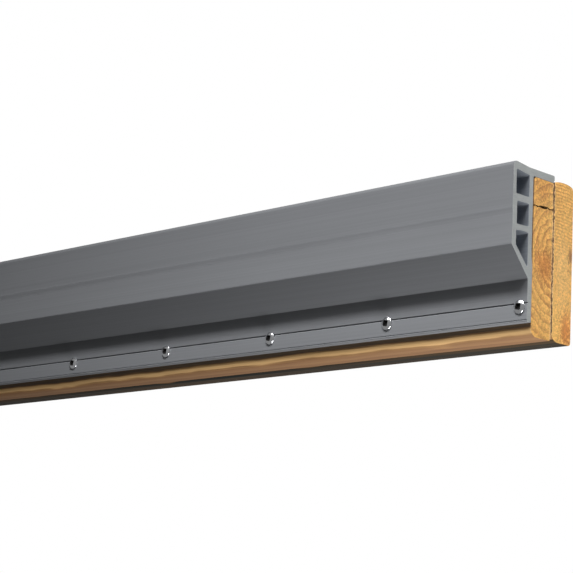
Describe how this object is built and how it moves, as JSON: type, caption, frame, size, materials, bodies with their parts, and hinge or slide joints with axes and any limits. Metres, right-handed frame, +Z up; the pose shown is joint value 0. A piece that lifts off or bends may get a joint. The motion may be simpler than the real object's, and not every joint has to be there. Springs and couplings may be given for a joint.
{
  "type": "dock edge bumper",
  "caption": "Hollow celled vinyl edge bumper with a hooked lip and a screw flange, fastened along two planks laid back to back.",
  "frame": {"origin": "middle of the rail's length and depth, on the underside of the planks", "axes": "+X along the rail, -Y out of the bumper's face, +Z up from the planks' lower edge to the hooked lip"},
  "size_m": [0.9304, 0.0838, 0.1482],
  "materials": {
    "bumper_vinyl": "satin",
    "plank_wood": "sawn end grain, oiled faces",
    "flange_screw_steel": "polished",
    "plank_screw_steel": "yellow zinc"
  },
  "bodies": {
    "root": {"bumper_profile": "bumper_vinyl", "front_board": "plank_wood", "rear_board": "plank_wood", "flange_screw_1": "flange_screw_steel", "flange_screw_2": "flange_screw_steel", "flange_screw_3": "flange_screw_steel", "flange_screw_4": "flange_screw_steel", "flange_screw_5": "flange_screw_steel", "flange_screw_6": "flange_screw_steel", "flange_screw_7": "flange_screw_steel", "board_screw_1": "plank_screw_steel", "board_screw_2": "plank_screw_steel", "board_screw_3": "plank_screw_steel", "board_screw_4": "plank_screw_steel", "board_screw_5": "plank_screw_steel", "board_screw_6": "plank_screw_steel", "board_screw_7": "plank_screw_steel", "board_screw_8": "plank_screw_steel"}
  },
  "joints": []
}
